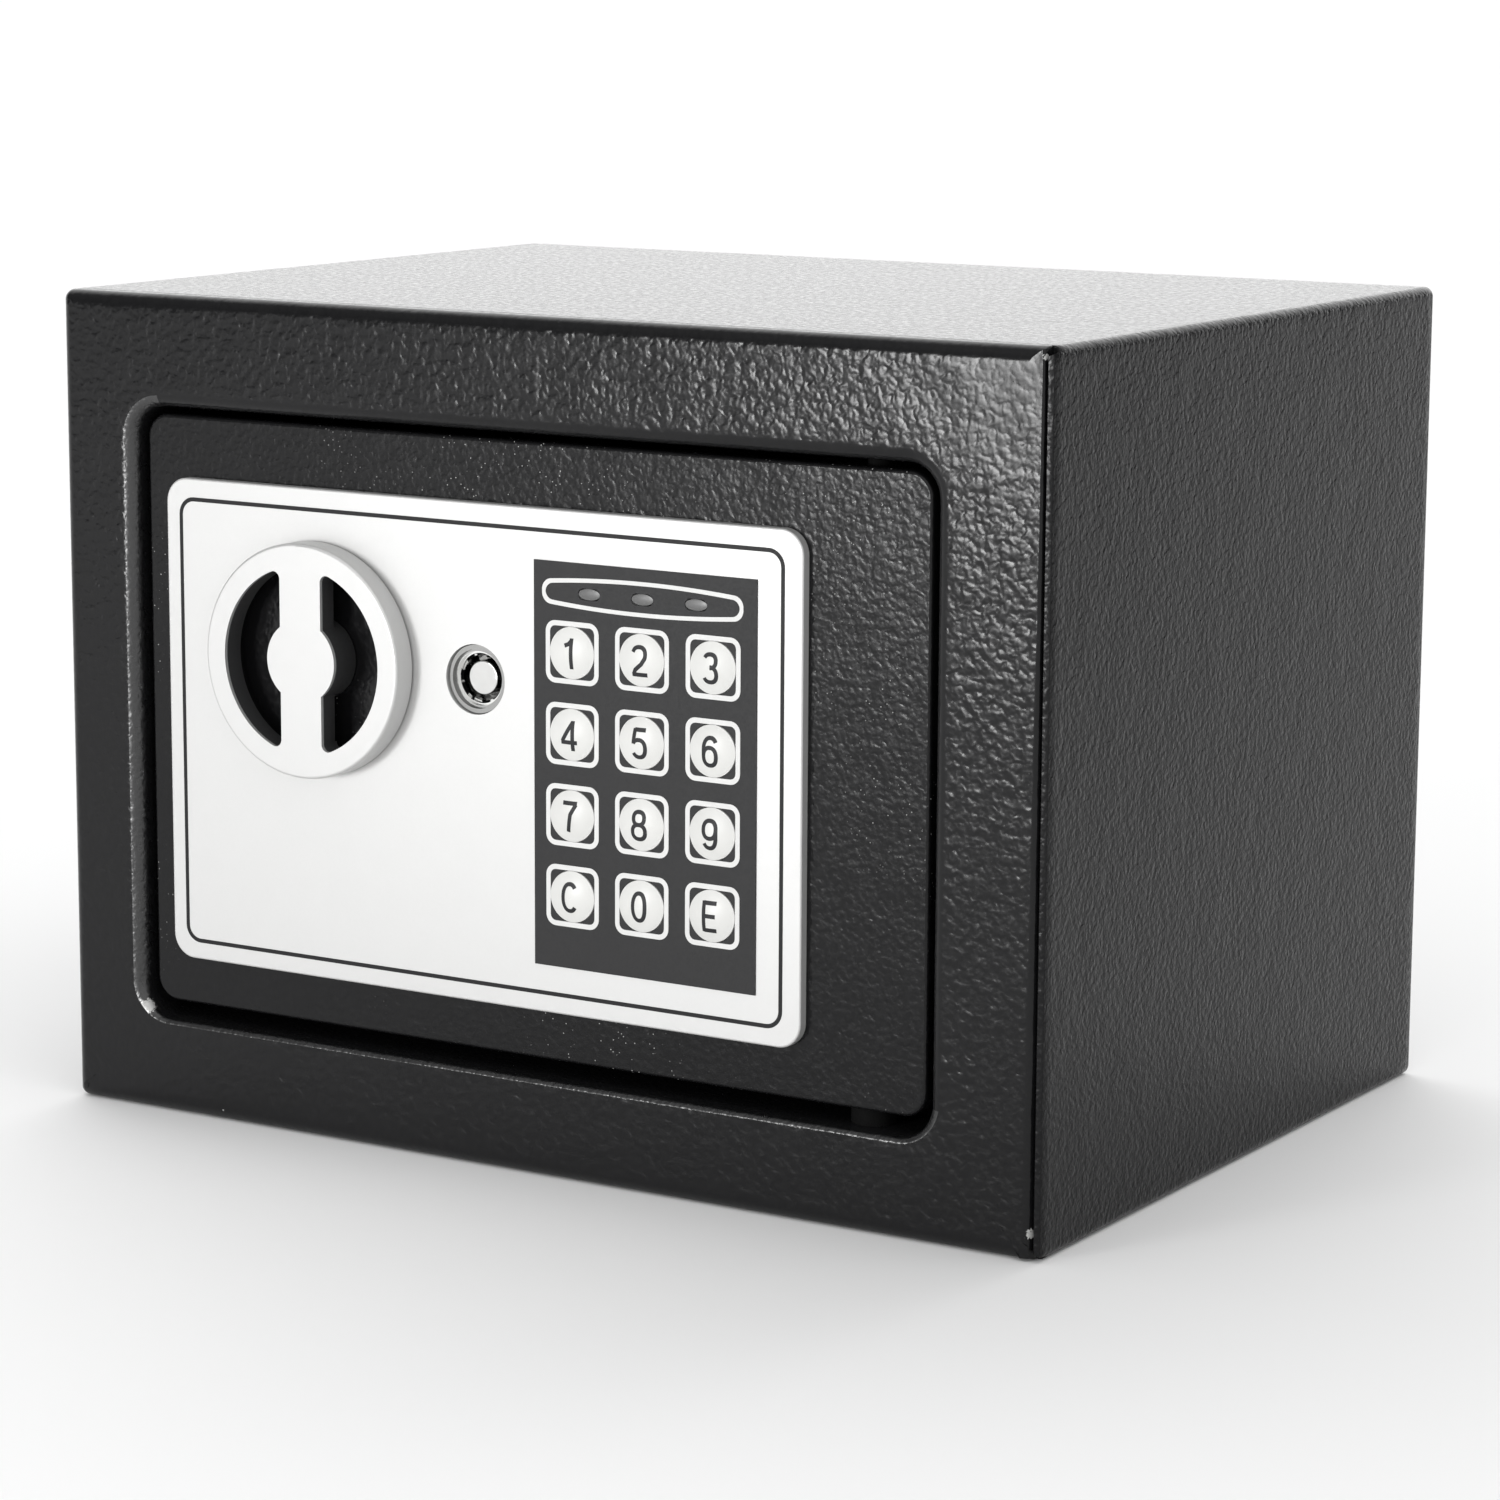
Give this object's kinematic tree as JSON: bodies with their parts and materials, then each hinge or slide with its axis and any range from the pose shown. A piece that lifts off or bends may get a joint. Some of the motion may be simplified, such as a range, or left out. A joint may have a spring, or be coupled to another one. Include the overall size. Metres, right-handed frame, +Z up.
{
  "type": "safe",
  "caption": "Small front-opening electronic safe with a silver keypad fascia, recessed turn knob, override lock and sliding bolts.",
  "frame": {"origin": "centre of the case's base, on the surface it stands on", "axes": "+X to the right seen from in front of the door, +Y from the door to the back, +Z up"},
  "size_m": [0.23, 0.1746, 0.17],
  "materials": {
    "black_powder_coat": "hammered powder coat, semi-gloss",
    "mat_felt": "needled felt",
    "zinc_steel": "bright zinc plate",
    "bolt_steel": "ground and plated",
    "fascia_silver": "satin silver paint",
    "overlay_grey": "fine matt print",
    "led_lens": "translucent, unlit",
    "key_white": "soft satin silicone",
    "board_green": "solder resist",
    "black_plastic": "moulded, low sheen",
    "connector_white": "moulded",
    "lid_black": "fine spark texture",
    "bush_brass": "turned",
    "knob_silver": "satin silver plating",
    "coil_tape": "wound, taped",
    "lock_chrome": "bright plate",
    "cell_sleeve": "printed sleeve",
    "button_red": "moulded",
    "lead_pvc": "soft sheath"
  },
  "bodies": {
    "case": {"case_wrap": "black_powder_coat", "back_panel": "black_powder_coat", "front_frame": "black_powder_coat", "hinge_bush_plates": "black_powder_coat", "floor_mat": "mat_felt"},
    "knob": {"knob_bezel": "knob_silver", "knob_core": "black_plastic", "knob_spindle": "zinc_steel", "spindle_clip": "zinc_steel", "drive_cam": "zinc_steel"},
    "bolts": {"bolt_carriage": "zinc_steel", "lock_bolts": "bolt_steel", "bolt_screws": "zinc_steel"},
    "plunger": {"solenoid_plunger": "zinc_steel"},
    "lock": {"lock_plug": "lock_chrome", "lock_cam": "zinc_steel", "lock_cam_nut": "zinc_steel"},
    "battery_lid": {"battery_lid": "lid_black"},
    "reset_button": {"reset_button": "button_red"},
    "key_0": {"key_0": "key_white"},
    "key_1": {"key_1": "key_white"},
    "key_2": {"key_2": "key_white"},
    "key_3": {"key_3": "key_white"},
    "key_4": {"key_4": "key_white"},
    "key_5": {"key_5": "key_white"},
    "key_6": {"key_6": "key_white"},
    "key_7": {"key_7": "key_white"},
    "key_8": {"key_8": "key_white"},
    "key_9": {"key_9": "key_white"},
    "key_c": {"key_c": "key_white"},
    "key_e": {"key_e": "key_white"},
    "door": {"batteries": "cell_sleeve", "battery_box": "black_plastic", "battery_contacts": "zinc_steel", "board_connectors": "connector_white", "buzzer": "black_plastic", "controller_chip": "black_plastic", "door_box": "black_powder_coat", "door_plate": "black_powder_coat", "door_screws": "zinc_steel", "fascia": "fascia_silver", "guide_posts": "zinc_steel", "guide_screws": "zinc_steel", "hinge_lugs": "black_powder_coat", "hinge_pins": "zinc_steel", "hinge_washer": "zinc_steel", "inner_cover": "black_powder_coat", "keypad_board": "board_green", "keypad_mat": "key_white", "keypad_overlay": "overlay_grey", "knob_bush": "bush_brass", "led_windows": "led_lens", "lock_cylinder": "lock_chrome", "lock_nut": "zinc_steel", "plunger_spring": "zinc_steel", "reset_switch": "black_plastic", "solenoid_coil": "coil_tape", "solenoid_frame": "zinc_steel", "status_leds": "led_lens", "wiring_leads": "lead_pvc"}
  },
  "joints": [
    {"name": "door_hinge", "type": "hinge", "parent": "case", "child": "door", "pos_m": [0.0743, -0.076, 0.0834], "axis": [0, 0, 1], "range_deg": [0, 110]},
    {"name": "knob_turn", "type": "hinge", "parent": "door", "child": "knob", "pos_m": [-0.051, -0.0845, 0.099], "axis": [0, -1, 0], "range_deg": [0, 90]},
    {"name": "bolt_slide", "type": "slide", "parent": "door", "child": "bolts", "axis": [-1, 0, 0], "range_m": [0, 0.01202]},
    {"name": "plunger_lift", "type": "slide", "parent": "door", "child": "plunger", "axis": [0, 0, 1], "range_m": [0, 0.002], "stiffness_N_per_m": 120, "springref_m": -0.004, "deforming": ["plunger_spring"]},
    {"name": "lock_turn", "type": "hinge", "parent": "door", "child": "lock", "pos_m": [-0.01235, -0.08, 0.0982], "axis": [0, 1, 0], "range_deg": [0, 90]},
    {"name": "battery_lid_lift", "type": "slide", "parent": "door", "child": "battery_lid", "axis": [0, 1, 0], "range_m": [0, 0.03]},
    {"name": "reset_press", "type": "slide", "parent": "door", "child": "reset_button", "axis": [0, -1, 0], "range_m": [0, 0.0012], "stiffness_N_per_m": 500, "springref_m": -0.0005},
    {"name": "key_0_press", "type": "slide", "parent": "door", "child": "key_0", "axis": [0, 1, 0], "range_m": [0, 0.001], "stiffness_N_per_m": 400, "springref_m": -0.0005},
    {"name": "key_1_press", "type": "slide", "parent": "door", "child": "key_1", "axis": [0, 1, 0], "range_m": [0, 0.001], "stiffness_N_per_m": 400, "springref_m": -0.0005},
    {"name": "key_2_press", "type": "slide", "parent": "door", "child": "key_2", "axis": [0, 1, 0], "range_m": [0, 0.001], "stiffness_N_per_m": 400, "springref_m": -0.0005},
    {"name": "key_3_press", "type": "slide", "parent": "door", "child": "key_3", "axis": [0, 1, 0], "range_m": [0, 0.001], "stiffness_N_per_m": 400, "springref_m": -0.0005},
    {"name": "key_4_press", "type": "slide", "parent": "door", "child": "key_4", "axis": [0, 1, 0], "range_m": [0, 0.001], "stiffness_N_per_m": 400, "springref_m": -0.0005},
    {"name": "key_5_press", "type": "slide", "parent": "door", "child": "key_5", "axis": [0, 1, 0], "range_m": [0, 0.001], "stiffness_N_per_m": 400, "springref_m": -0.0005},
    {"name": "key_6_press", "type": "slide", "parent": "door", "child": "key_6", "axis": [0, 1, 0], "range_m": [0, 0.001], "stiffness_N_per_m": 400, "springref_m": -0.0005},
    {"name": "key_7_press", "type": "slide", "parent": "door", "child": "key_7", "axis": [0, 1, 0], "range_m": [0, 0.001], "stiffness_N_per_m": 400, "springref_m": -0.0005},
    {"name": "key_8_press", "type": "slide", "parent": "door", "child": "key_8", "axis": [0, 1, 0], "range_m": [0, 0.001], "stiffness_N_per_m": 400, "springref_m": -0.0005},
    {"name": "key_9_press", "type": "slide", "parent": "door", "child": "key_9", "axis": [0, 1, 0], "range_m": [0, 0.001], "stiffness_N_per_m": 400, "springref_m": -0.0005},
    {"name": "key_c_press", "type": "slide", "parent": "door", "child": "key_c", "axis": [0, 1, 0], "range_m": [0, 0.001], "stiffness_N_per_m": 400, "springref_m": -0.0005},
    {"name": "key_e_press", "type": "slide", "parent": "door", "child": "key_e", "axis": [0, 1, 0], "range_m": [0, 0.001], "stiffness_N_per_m": 400, "springref_m": -0.0005}
  ],
  "couplings": [
    {"joint": "knob_turn", "follows": "bolt_slide", "rad_per_m": 130.67}
  ]
}
